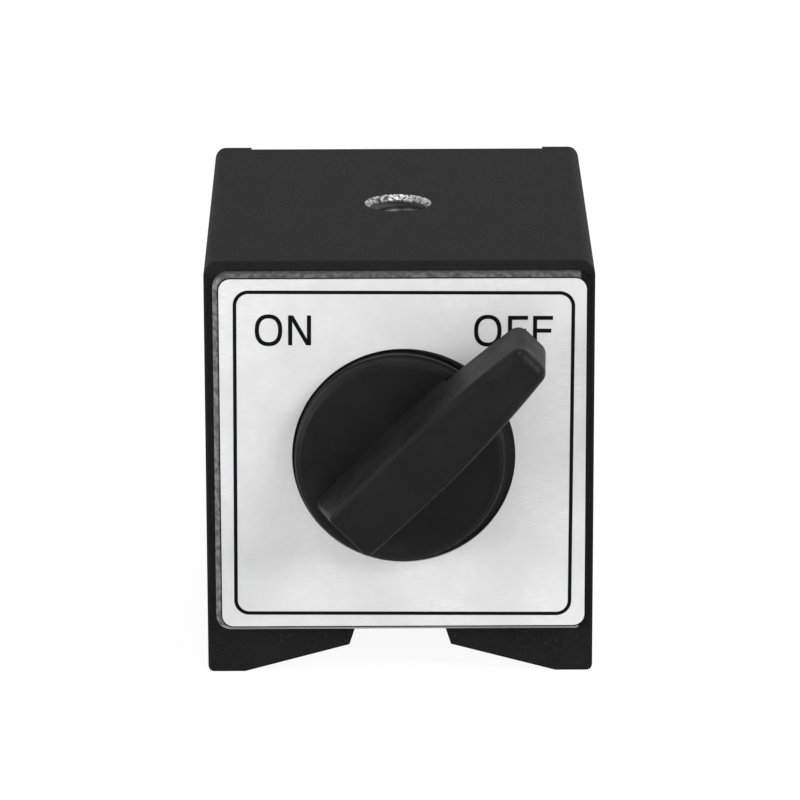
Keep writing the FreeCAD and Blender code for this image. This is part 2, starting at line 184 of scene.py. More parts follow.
@dataclass(frozen=True)
class Finish:
    """A finish with what every shader here has; each kind adds its own pattern."""

    name: str
    level: float
    roughness: float = 0.5
    metallic: float = 0.0
    specular: float = 0.5
    warmth: float = 0.0

    def material(self) -> bpy.types.Material:
        """Material of this finish, built on first use.

        Returns:
            The one material of that name.
        """
        if self.name in MIXED:
            return MIXED[self.name]
        made = bpy.data.materials.new(self.name)
        MIXED[self.name] = made
        made.use_nodes = True
        graph = Graph(made.node_tree)
        constants = {
            "Base Color": grey(self.level, self.warmth),
            "Roughness": self.roughness,
            "Metallic": self.metallic,
            "Specular IOR Level": self.specular,
        }
        shader = graph.add("ShaderNodeBsdfPrincipled", constants)
        graph.add("ShaderNodeOutputMaterial", {"Surface": shader.outputs["BSDF"]})
        where = graph.add("ShaderNodeTexCoord").outputs["Object"]
        for socket, value in self.pattern(graph, where).items():
            graph.tree.links.new(value, shader.inputs[socket])
        made.diffuse_color = grey(self.level)
        return made

    def pattern(self, graph: Graph, where: bpy.types.NodeSocket) -> Sockets:
        """Sockets that vary over the surface.

        Args:
            graph: Graph of the material.
            where: Object coordinates in metres.

        Returns:
            Output sockets by the shader input that they feed.
        """
        return {}


@dataclass(frozen=True)
class TexturedPaint(Finish):
    """Baked paint with a fine pebbled skin, faint clouds and a few pale specks."""

    grain: float = 0.35 * MM
    depth: float = 0.03 * MM
    relief: float = 0.6
    cloud: float = 6 * MM
    cloud_band: Pair = (0.35, 0.65)
    cloud_shares: Pair = (0.9, 1.12)
    grain_share: float = 1.3
    spread: float = 0.08
    speck: float = 0.3 * MM
    speck_band: Pair = (0.77, 0.83)
    speck_level: float = 0.09

    def pattern(self, graph: Graph, where: bpy.types.NodeSocket) -> Sockets:
        """Pebbles in colour, roughness and normal, clouds and specks in the colour.

        Args:
            graph: Graph of the material.
            where: Object coordinates in metres.

        Returns:
            Output sockets by the shader input that they feed.
        """
        pebbles = graph.noise(where, self.grain, detail=3)
        clouds = graph.noise(where, self.cloud, detail=4)
        dark, light = (grey(self.level * share) for share in self.cloud_shares)
        tone = graph.blend(graph.ramp(clouds, self.cloud_band), dark, light)
        fine = graph.blend(graph.ramp(pebbles, MIDDLE), tone, grey(self.level * self.grain_share))
        specks = graph.ramp(graph.noise(where, self.speck, detail=1), self.speck_band)
        rough = (self.roughness - self.spread, self.roughness + self.spread)
        return {
            "Base Color": graph.blend(specks, fine, grey(self.speck_level)),
            "Roughness": graph.ramp(pebbles, MIDDLE, rough),
            "Normal": graph.bump(pebbles, self.depth, self.relief),
        }


@dataclass(frozen=True)
class CastSkin(Finish):
    """Die-cast skin, darker towards the top, with a painted highlight along its bottom edge and darker and
    duller towards its right edge.
    """

    blotch: float = 0.7 * MM
    blotch_band: Pair = (0.33, 0.7)
    depth: float = 0.05 * MM
    relief: float = 0.7
    spread: float = 0.1
    dark: float = 0.06
    light: float = 0.19
    # Level that the top and the right edge are darkened to, as dark as the block's paint.
    darkened_level: float = 0.0105
    dark_right_from: float = 22.9 * MM
    dark_right_fade: float = 0.3 * MM
    # From this height up the skin is darker towards the top.
    darker_top_from: float = 52.9 * MM
    darker_top_fade: float = 1.0 * MM
    darker_top_share: float = 0.62
    # Below this height a painted highlight lightens the cover's bottom edge.
    highlight_below: float = 6.9 * MM
    highlight_fade: float = 0.1 * MM
    highlight_level: float = 0.34

    def pattern(self, graph: Graph, where: bpy.types.NodeSocket) -> Sockets:
        """Blotches in colour, roughness and height, with a painted highlight at the bottom, darker towards
        the top and towards the right.

        Args:
            graph: Graph of the material.
            where: Object coordinates in metres.

        Returns:
            Output sockets by the shader input that they feed.
        """
        blotches = graph.noise(where, self.blotch, detail=6)
        spot = graph.add("ShaderNodeSeparateXYZ", {"Vector": where})
        across, up = spot.outputs["X"], spot.outputs["Z"]
        skin = graph.blend(graph.ramp(blotches, self.blotch_band), grey(self.dark), grey(self.light))
        # Painted highlight: the skin is lightened along the bottom edge; bare holds the skin with that
        # highlight.
        bottom_highlight = graph.ramp(up, (self.highlight_below, self.highlight_below - self.highlight_fade))
        bare = graph.blend(bottom_highlight, skin, grey(self.highlight_level))
        # Darker and duller towards the right edge: there the colour goes to the block's paint level and the
        # metal and specular go to zero; painted holds that share.
        painted = graph.ramp(across, (self.dark_right_from, self.dark_right_from + self.dark_right_fade))
        # Darker towards the top: soiled holds that share, which is blended with the right edge's darkening.
        darker_top_band = (self.darker_top_from, self.darker_top_from + self.darker_top_fade)
        soiled = graph.ramp(up, darker_top_band, (0, self.darker_top_share))
        share = graph.maths("MAXIMUM", painted, soiled)
        # Outside the darker right edge the skin keeps its metal and specular; unpainted holds that share.
        unpainted = graph.maths("SUBTRACT", 1.0, painted)
        rough = (self.roughness + self.spread, self.roughness - self.spread)
        return {
            "Base Color": graph.blend(share, bare, grey(self.darkened_level)),
            "Metallic": graph.maths("MULTIPLY", unpainted, self.metallic),
            "Specular IOR Level": graph.maths("MULTIPLY", unpainted, self.specular),
            "Roughness": graph.ramp(blotches, MIDDLE, rough),
            "Normal": graph.bump(blotches, self.depth, self.relief),
        }


@dataclass(frozen=True)
class SatinPlate(Finish):
    """Rolled aluminium plate: a short satin grain along X, faint clouds and handling marks."""

    grain: float = 0.12 * MM
    grain_band: Pair = (0.25, 0.75)
    grain_share: float = 0.9
    stretch: float = 14.0
    cloud: float = 9 * MM
    cloud_shares: Pair = (0.86, 1.06)
    smudge: float = 1.1 * MM
    smudge_band: Pair = (0.45, 0.75)
    smudge_cover: float = 0.22
    smudge_share: float = 0.72
    depth: float = 0.006 * MM
    relief: float = 0.4
    spread: float = 0.06

    def pattern(self, graph: Graph, where: bpy.types.NodeSocket) -> Sockets:
        """Stretched grain in colour, roughness and normal, clouds and smudges in the colour.

        Args:
            graph: Graph of the material.
            where: Object coordinates in metres.

        Returns:
            Output sockets by the shader input that they feed.
        """
        along = graph.add("ShaderNodeMapping", {"Vector": where, "Scale": (1 / self.stretch, 1, 1)})
        grain = graph.noise(along.outputs["Vector"], self.grain, detail=3)
        clouds = graph.noise(where, self.cloud, detail=3)
        smudges = graph.noise(where, self.smudge, detail=4)
        dark, light = (grey(self.level * share) for share in self.cloud_shares)
        tone = graph.blend(graph.ramp(clouds, MIDDLE), dark, light)
        cover = graph.ramp(smudges, self.smudge_band, (0, self.smudge_cover))
        soiled = graph.blend(cover, tone, grey(self.level * self.smudge_share))
        rolled = grey(self.level * self.grain_share)
        rough = (self.roughness - self.spread, self.roughness + self.spread)
        return {
            "Base Color": graph.blend(graph.ramp(grain, self.grain_band), rolled, soiled),
            "Roughness": graph.ramp(grain, MIDDLE, rough),
            "Normal": graph.bump(grain, self.depth, self.relief),
        }


@dataclass(frozen=True)
class MouldedPlastic(Finish):
    """Satin moulded plastic with a faint orange-peel skin and rubbed patches."""

    peel: float = 0.5 * MM
    depth: float = 0.008 * MM
    relief: float = 0.5
    rub: float = 4 * MM
    rub_band: Pair = (0.3, 0.75)
    rub_shares: Pair = (0.88, 1.2)
    rub_rough: Pair = (-0.05, 0.07)

    def pattern(self, graph: Graph, where: bpy.types.NodeSocket) -> Sockets:
        """Peel in the normal, rubbed patches in roughness and colour.

        Args:
            graph: Graph of the material.
            where: Object coordinates in metres.

        Returns:
            Output sockets by the shader input that they feed.
        """
        peel = graph.noise(where, self.peel, detail=4)
        rubs = graph.noise(where, self.rub, detail=5)
        dark, light = (grey(self.level * share) for share in self.rub_shares)
        low, high = (self.roughness + change for change in self.rub_rough)
        return {
            "Base Color": graph.blend(graph.ramp(rubs, self.rub_band), dark, light),
            "Roughness": graph.ramp(rubs, MIDDLE, (low, high)),
            "Normal": graph.bump(peel, self.depth, self.relief),
        }


@dataclass(frozen=True)
class PaintedLightPlastic(MouldedPlastic):
    """Moulded plastic with painted fill light behind a plane across Y and painted glints speckled round one
    spot.
    """

    # Painted fill light lifts the colour behind this plane along Y, on the flange in the shaded gap.
    fill_light_from: float = 0.0
    fill_light_level: float = 0.11
    # Painted glints: pale specks round this spot on the lever's tip edge.
    glint_spot: Place = (16.5 * MM, -38.0 * MM, 47.3 * MM)
    glint_reach: float = 2.3 * MM
    speck: float = 0.5 * MM
    speck_band: Pair = (0.56, 0.72)
    speck_level: float = 0.04

    def pattern(self, graph: Graph, where: bpy.types.NodeSocket) -> Sockets:
        """The plastic's pattern, with painted glints and painted fill light in the colour.

        Args:
            graph: Graph of the material.
            where: Object coordinates in metres.

        Returns:
            Output sockets by the shader input that they feed.
        """
        found = super().pattern(graph, where)
        # Painted glints: pale specks near one spot on the lever's tip; rubbed holds the colour with these
        # glints.
        reach = graph.add("ShaderNodeVectorMath", {0: where, 1: self.glint_spot}, operation="DISTANCE")
        near = graph.ramp(reach.outputs["Value"], (self.glint_reach, self.glint_reach / 2))
        specks = graph.ramp(graph.noise(where, self.speck, detail=2), self.speck_band)
        tip_glints = graph.maths("MULTIPLY", near, specks)
        rubbed = graph.blend(tip_glints, found["Base Color"], grey(self.speck_level))
        # Painted fill light: behind the dial's face the colour is raised to a lighter grey, lightening the
        # shaded flange in the gap.
        depth = graph.add("ShaderNodeSeparateXYZ", {"Vector": where}).outputs["Y"]
        behind = graph.maths("GREATER_THAN", depth, self.fill_light_from)
        found["Base Color"] = graph.blend(behind, rubbed, grey(self.fill_light_level))
        return found


@dataclass(frozen=True)
class CutMetal(Finish):
    """Machined or plated metal with fine tool marks and stains."""

    mark: float = 0.15 * MM
    stain: float = 1.2 * MM
    depth: float = 0.01 * MM
    relief: float = 0.5
    spread: float = 0.08
    contrast: float = 0.25

    def pattern(self, graph: Graph, where: bpy.types.NodeSocket) -> Sockets:
        """Marks in the normal, stains in colour and roughness.

        Args:
            graph: Graph of the material.
            where: Object coordinates in metres.

        Returns:
            Output sockets by the shader input that they feed.
        """
        marks = graph.noise(where, self.mark, detail=2)
        stains = graph.noise(where, self.stain, detail=5)
        dark = grey(self.level * (1 - self.contrast), self.warmth)
        light = grey(self.level * (1 + self.contrast), self.warmth)
        rough = (self.roughness + self.spread, self.roughness - self.spread)
        return {
            "Base Color": graph.blend(graph.ramp(stains, MIDDLE), dark, light),
            "Roughness": graph.ramp(stains, MIDDLE, rough),
            "Normal": graph.bump(marks, self.depth, self.relief),
        }


@dataclass(frozen=True)
class PaintWithBareBore(TexturedPaint):
    """The block's paint, with an unpainted grey wall inside the stud hole."""

    bore_y: float = 0.0
    bore_radius: float = 4.41 * MM
    bore_level: float = 0.1

    def pattern(self, graph: Graph, where: bpy.types.NodeSocket) -> Sockets:
        """The paint's pattern outside the hole's rim and one grey inside it.

        Args:
            graph: Graph of the material.
            where: Object coordinates in metres.

        Returns:
            Output sockets by the shader input that they feed.
        """
        found = super().pattern(graph, where)
        place = graph.add("ShaderNodeVectorMath", {0: where, 1: (0, self.bore_y, 0)}, operation="SUBTRACT")
        flat = graph.add("ShaderNodeVectorMath", {0: place.outputs[0], 1: (1, 1, 0)}, operation="MULTIPLY")
        radius = graph.add("ShaderNodeVectorMath", {0: flat.outputs[0]}, operation="LENGTH")
        inside = graph.maths("LESS_THAN", radius.outputs["Value"], self.bore_radius)
        found["Base Color"] = graph.blend(inside, found["Base Color"], grey(self.bore_level))
        return found


BLOCK_PAINT = TexturedPaint("block_paint", 0.0123, roughness=0.6, specular=0.022)
SPACER_PAINT = PaintWithBareBore("spacer_paint", 0.0123, roughness=0.6, specular=0.022)
COVER_SKIN = CastSkin("cover_skin", 0.1, roughness=0.5, metallic=0.4)
DIAL_PLATE = SatinPlate("dial_satin", 0.77, roughness=0.42, metallic=0.15)
KNOB_PLASTIC = PaintedLightPlastic("moulded_knob", 0.0125, roughness=0.4, specular=0.062)
SHEET_PAINT = TexturedPaint("sheet_paint", 0.024, roughness=0.5, specular=0.3, depth=0.015 * MM)
ZINC_STEEL = CutMetal("zinc_steel", 0.55, roughness=0.35, metallic=1.0)
BLACK_STEEL = CutMetal("black_steel", 0.07, roughness=0.42, metallic=0.8)
PIN_STEEL = CutMetal("ground_pin", 0.5, roughness=0.25, metallic=1.0, contrast=0.1)
SOFT_IRON = CutMetal("iron_segments", 0.42, roughness=0.4, metallic=1.0)
MAGNET_ALLOY = CutMetal("ground_magnets", 0.12, roughness=0.6, metallic=0.6, stain=3 * MM)
TURNED_BRASS = CutMetal("turned_brass", 0.5, roughness=0.3, metallic=1.0, warmth=0.42)
BARE_MOUTH = CutMetal(
    "bare_mouth", 0.3, roughness=0.4, metallic=0.8, stain=0.38 * MM, contrast=0.95, depth=0.05 * MM
)
THREAD_METAL = CutMetal("thread_metal", 0.1, roughness=0.4, metallic=0.5, contrast=0.6)
PRINT_INK = MouldedPlastic("print_ink", 0.004, roughness=0.6, specular=0.05)
# Dark sheet under the dial plate's edge, seen as a thin dark line round it.
EDGE_FILM = MouldedPlastic("edge_film", 0.005, roughness=0.7, specular=0.03)


def dress(finish: Finish, *nodes: str) -> None:
    """Give nodes of the frame one finish.

    Args:
        finish: The finish to assign.
        *nodes: Names of the frame's nodes.
    """
    for name in nodes:
        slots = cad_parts[name].data.materials
        slots.clear()
        slots.append(finish.material())
        LOG.info("dressed %s with %s", name, finish.name)


def add_piece(name: str, mesh: bpy.types.Mesh, rider: Rider) -> None:
    """Link a finished mesh as a piece at the origin that moves with a body.

    Args:
        name: Name of the piece.
        mesh: Its mesh, already in place and with its material.
        rider: Body that it moves with.
    """
    mesh.name = name
    piece = bpy.data.objects.new(name, mesh)
    bpy.context.scene.collection.objects.link(piece)
    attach(piece, rider.value)
    LOG.info("made %s with %d faces on %s", name, len(mesh.polygons), rider.value)


@dataclass(frozen=True)
class Recipe:
    """A geometry tree with named number inputs, turned into a plain mesh."""

    name: str
    values: dict[str, float]
    build: Callable[[Graph, Sockets], bpy.types.NodeSocket]
    finish: Finish

    def mesh(self) -> bpy.types.Mesh:
        """Build the tree and run it once on an empty mesh.

        Returns:
            The plain mesh.
        """
        tree = bpy.data.node_groups.new(self.name, "GeometryNodeTree")
        graph = Graph(tree)
        tree.interface.new_socket("Geometry", in_out="OUTPUT", socket_type="NodeSocketGeometry")
        ids = {}
        for label, value in self.values.items():
            socket = tree.interface.new_socket(label, in_out="INPUT", socket_type="NodeSocketFloat")
            socket.default_value = value
            ids[label] = socket.identifier
        sizes = {s.name: s for s in graph.add("NodeGroupInput").outputs if s.name}
        shape = self.build(graph, sizes)
        real = graph.add("GeometryNodeRealizeInstances", {"Geometry": shape})
        inputs = {"Geometry": real.outputs["Geometry"], "Material": self.finish.material()}
        dressed = graph.add("GeometryNodeSetMaterial", inputs)
        graph.add("NodeGroupOutput", {"Geometry": dressed.outputs["Geometry"]})
        return self.run(tree, ids)

    def run(self, tree: bpy.types.NodeTree, ids: dict[str, str]) -> bpy.types.Mesh:
        """Run the tree on a carrier object.

        Args:
            tree: The finished tree.
            ids: Socket identifiers by input name.

        Returns:
            The evaluated mesh, free of the modifier.
        """
        carrier = bpy.data.objects.new(self.name, bpy.data.meshes.new(self.name))
        bpy.context.scene.collection.objects.link(carrier)
        modifier = carrier.modifiers.new(self.name, "NODES")
        modifier.node_group = tree
        for label, value in self.values.items():
            modifier[ids[label]] = value
        view = bpy.context.evaluated_depsgraph_get()
        made = bpy.data.meshes.new_from_object(carrier.evaluated_get(view), depsgraph=view)
        carrier.modifiers.remove(modifier)
        bpy.data.objects.remove(carrier)
        return made


def combine(graph: Graph, x: Any, y: Any, z: Any) -> bpy.types.NodeSocket:
    """Vector of three numbers or sockets."""
    return graph.add("ShaderNodeCombineXYZ", {"X": x, "Y": y, "Z": z}).outputs[0]


def rounded_loop(graph: Graph, sizes: Sockets) -> bpy.types.NodeSocket:
    """Flat line of even width that follows a rectangle with rounded corners, standing across Y.

    Args:
        graph: Graph of the geometry group.
        sizes: Its number inputs by name.

    Returns:
        The line's geometry.
    """
    loop = graph.add(
        "GeometryNodeCurvePrimitiveQuadrilateral",
        {"Width": sizes["Width"], "Height": sizes["Height"]},
        mode="RECTANGLE",
    )
    bends = graph.add(
        "GeometryNodeFilletCurve",
        {"Curve": loop.outputs["Curve"], "Radius": sizes["Corner Radius"], "Count": CORNER_POINTS},
        mode="POLY",
    )
    section = graph.add(
        "GeometryNodeCurvePrimitiveQuadrilateral",
        {"Width": sizes["Line Width"], "Height": sizes["Thickness"]},
        mode="RECTANGLE",
    )
    swept = graph.add(
        "GeometryNodeCurveToMesh",
        {"Curve": bends.outputs["Curve"], "Profile Curve": section.outputs["Curve"]},
    )
    place = combine(graph, sizes["Centre X"], sizes["Centre Y"], sizes["Centre Z"])
    turn = combine(graph, math.pi / 2, 0, 0)
    stood = graph.add(
        "GeometryNodeTransform",
        {"Geometry": swept.outputs["Mesh"], "Translation": place, "Rotation": turn},
    )
    return stood.outputs["Geometry"]


def thread_ridge(graph: Graph, sizes: Sockets) -> bpy.types.NodeSocket:
    """Ridge of an inner thread: a trapezoid that follows a helix up the hole.

    Args:
        graph: Graph of the geometry group.
        sizes: Its number inputs by name.

    Returns:
        The ridge's geometry.
    """
    helix = graph.add(
        "GeometryNodeCurveSpiral",
        {
            "Resolution": STEPS_PER_TURN,
            "Rotations": sizes["Turns"],
            "Start Radius": sizes["Major Radius"],
            "End Radius": sizes["Major Radius"],
            "Height": sizes["Height"],
        },
    )
    upright = graph.add("GeometryNodeSetCurveNormal", {"Curve": helix.outputs["Curve"]}, mode="Z_UP")
    foot = graph.maths("MULTIPLY", sizes["Pitch"], FOOT_HALF)
    crest = graph.maths("MULTIPLY", sizes["Pitch"], CREST_HALF)
    depth = sizes["Depth"]
    section = graph.add(
        "GeometryNodeCurvePrimitiveQuadrilateral",
        {
            "Point 1": combine(graph, 0, foot, 0),
            "Point 2": combine(graph, depth, crest, 0),
            "Point 3": combine(graph, depth, graph.maths("MULTIPLY", crest, -1), 0),
            "Point 4": combine(graph, 0, graph.maths("MULTIPLY", foot, -1), 0),
        },
        mode="POINTS",
    )
    swept = graph.add(
        "GeometryNodeCurveToMesh",
        {"Curve": upright.outputs["Curve"], "Profile Curve": section.outputs["Curve"], "Fill Caps": True},
    )
    place = combine(graph, 0, sizes["Centre Y"], sizes["Bottom"])
    moved = graph.add("GeometryNodeTransform", {"Geometry": swept.outputs["Mesh"], "Translation": place})
    return moved.outputs["Geometry"]


def face_outwards(mesh: bpy.types.Mesh, merge: float = 0.0) -> bpy.types.Mesh:
    """Close seams and turn every face of a mesh outwards.

    Args:
        mesh: Mesh to mend in place.
        merge: Distance in metres under which points are joined.

    Returns:
        The same mesh.
    """
    work = bmesh.new()
    work.from_mesh(mesh)
    if merge:
        bmesh.ops.remove_doubles(work, verts=work.verts, dist=merge)
    bmesh.ops.recalc_face_normals(work, faces=work.faces)
    work.to_mesh(mesh)
    work.free()
    return mesh


def turned_ring(
    name: str, section: Sequence[Point], centre_y: float, steps: int, finish: Finish
) -> bpy.types.Mesh:
    """Closed ring about a vertical axis.

    Args:
        name: Name of the mesh.
        section: Points (radius, height) of the section, in order round it.
        centre_y: Where the axis stands along Y.
        steps: Number of steps round the axis.
        finish: Finish of the ring.

    Returns:
        The ring's mesh.
    """
    work = bmesh.new()
    rings = []
    for step in range(steps):
        angle = math.tau * step / steps
        spots = [(r * math.cos(angle), centre_y + r * math.sin(angle), z) for r, z in section]
        rings.append([work.verts.new(spot) for spot in spots])
    for here, there in zip(rings, rings[1:] + rings[:1]):
        for index in range(len(section)):
            after = (index + 1) % len(section)
            work.faces.new((here[index], here[after], there[after], there[index]))
    bmesh.ops.recalc_face_normals(work, faces=work.faces)
    mesh = bpy.data.meshes.new(name)
    work.to_mesh(mesh)
    work.free()
    mesh.materials.append(finish.material())
    return mesh


@dataclass
class StudHole:
    """Threaded hole for the column: bare chamfered mouth and an inner thread below it."""

    pitch: float = 1.25 * MM
    major_radius: float = 3.99 * MM
    thread_depth: float = 0.6 * MM
    mouth_top_radius: float = 4.39 * MM
    mouth_low_radius: float = 3.76 * MM
    mouth_height: float = 0.86 * MM
    chamfer_height: float = 0.64 * MM
    sink_depth: float = 0.4 * MM
    ring_wall_radius: float = 3.98 * MM
    turns: float = 5.5
    thread_drop: float = 0.3 * MM
    steps: int = 96

    def place(self) -> Pair:
        """Middle of the block along Y, where the hole stands, and the height of its top."""
        low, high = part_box("left_pole_shoe")
        return (low.y + high.y) / 2, high.z

    def build(self) -> None:
        """Make the mouth and the thread."""
        centre_y, top = self.place()
        section = [
            (self.mouth_top_radius, top),
            (self.ring_wall_radius, top - self.sink_depth),
            (self.ring_wall_radius, top - self.mouth_height),
            (self.mouth_low_radius, top - self.mouth_height),
            (self.mouth_low_radius, top - self.chamfer_height),
        ]
        mouth = turned_ring("stud_mouth", section, centre_y, self.steps, BARE_MOUTH)
        add_piece("stud_mouth", mouth, Rider.BASE)
        height = self.turns * self.pitch
        values = {
            "Pitch": self.pitch,
            "Turns": self.turns,
            "Height": height,
            "Major Radius": self.major_radius,
            "Depth": self.thread_depth,
            "Centre Y": centre_y,
            "Bottom": top - self.mouth_height - height - self.thread_drop,
        }
        ridge = Recipe("stud_thread", values, thread_ridge, THREAD_METAL).mesh()
        add_piece("stud_thread", face_outwards(ridge), Rider.BASE)


@dataclass
class Block:
    """The painted steel block with its foot, filler strips and stud hole."""

    hole: StudHole = field(default_factory=StudHole)

    def build(self) -> None:
        """Dress the block's solids and make the stud hole's inside."""
        dress(BLOCK_PAINT, "left_pole_shoe", "right_pole_shoe", "bottom_spacer")
        centre_y, _ = self.hole.place()
        dress(replace(SPACER_PAINT, bore_y=centre_y), "top_spacer")
        self.hole.build()


def round_corners(points: Sequence[Point], radius: float, steps: int = 4) -> list[Point]:
    """Ease the corners of a closed outline.

    Args:
        points: Corners in order.
        radius: Reach of each eased corner, kept to a third of the sides that meet there.
        steps: Points that stand for one arc, less one.

    Returns:
        The eased outline.
    """
    eased = []
    for index, corner in enumerate(points):
        before = Vector(points[index - 1]) - Vector(corner)
        after = Vector(points[(index + 1) % len(points)]) - Vector(corner)
        reach = min(radius, before.length / 3, after.length / 3)
        start = Vector(corner) + before.normalized() * reach
        end = Vector(corner) + after.normalized() * reach
        for step in range(steps + 1):
            share = step / steps
            first = start.lerp(Vector(corner), share)
            second = Vector(corner).lerp(end, share)
            spot = first.lerp(second, share)
            eased.append((spot.x, spot.y))
    return eased


@dataclass(frozen=True)
class Lettering:
    """Plain grotesque capitals, drawn as outlines from their height and stroke."""

    height: float = 3.97 * MM
    overshoot: float = 0.12 * MM
    stroke: float = 0.53 * MM
    corner: float = 0.06 * MM
    roundness: float = 2.35
    ring_steps: int = 64
    lean_share: float = 1.22
    notch_share: float = 1.3
    bar_drop: float = 1.7 * MM
    bar_short: float = 0.2 * MM

    def ring(self, half_width: float, half_height: float) -> list[Point]:
        """Superellipse about the origin.

        Args:
            half_width: Half of its width.
            half_height: Half of its height.

        Returns:
            Its points, counter-clockwise.
        """
        points = []
        for step in range(self.ring_steps):
            angle = math.tau * step / self.ring_steps
            across, up = math.cos(angle), math.sin(angle)
            size = (abs(across) ** self.roundness + abs(up) ** self.roundness) ** (-1 / self.roundness)
            points.append((half_width * across * size, half_height * up * size))
        return points

    def letter_o(self, width: float) -> list[list[Point]]:
        """Outer and inner outline of an O whose lower left corner is the origin.

        Args:
            width: Width of the letter.

        Returns:
            Both outlines.
        """
        half_width, middle = width / 2, self.height / 2
        loops = []
        for inset in (0.0, self.stroke):
            loop = self.ring(half_width - inset, middle + self.overshoot - inset)
            loops.append([(x + half_width, z + middle) for x, z in loop])
        return loops

    def letter_n(self, width: float) -> list[list[Point]]:
        """Outline of an N whose lower left corner is the origin.

        Args:
            width: Width of the letter.

        Returns:
            A list of the one outline.
        """
        top, line = self.height, self.stroke
        lean = line * self.lean_share
        notch = lean * self.notch_share
        corners = [
            (0, 0),
            (line, 0),
            (line, top - notch),
            (width - lean, 0),
            (width, 0),
            (width, top),
            (width - line, top),
            (width - line, notch),
            (lean, top),
            (0, top),
        ]
        return [round_corners(corners, self.corner)]

    def letter_f(self, width: float) -> list[list[Point]]:
        """Outline of an F whose lower left corner is the origin.

        Args:
            width: Width of the letter.

        Returns:
            A list of the one outline.
        """
        top, line = self.height, self.stroke
        bar = top - self.bar_drop - line
        corners = [
            (0, 0),
            (line, 0),
            (line, bar),
            (width - self.bar_short, bar),
            (width - self.bar_short, bar + line),
            (line, bar + line),
            (line, top - line),
            (width, top - line),
            (width, top),
            (0, top),
        ]
        return [round_corners(corners, self.corner)]


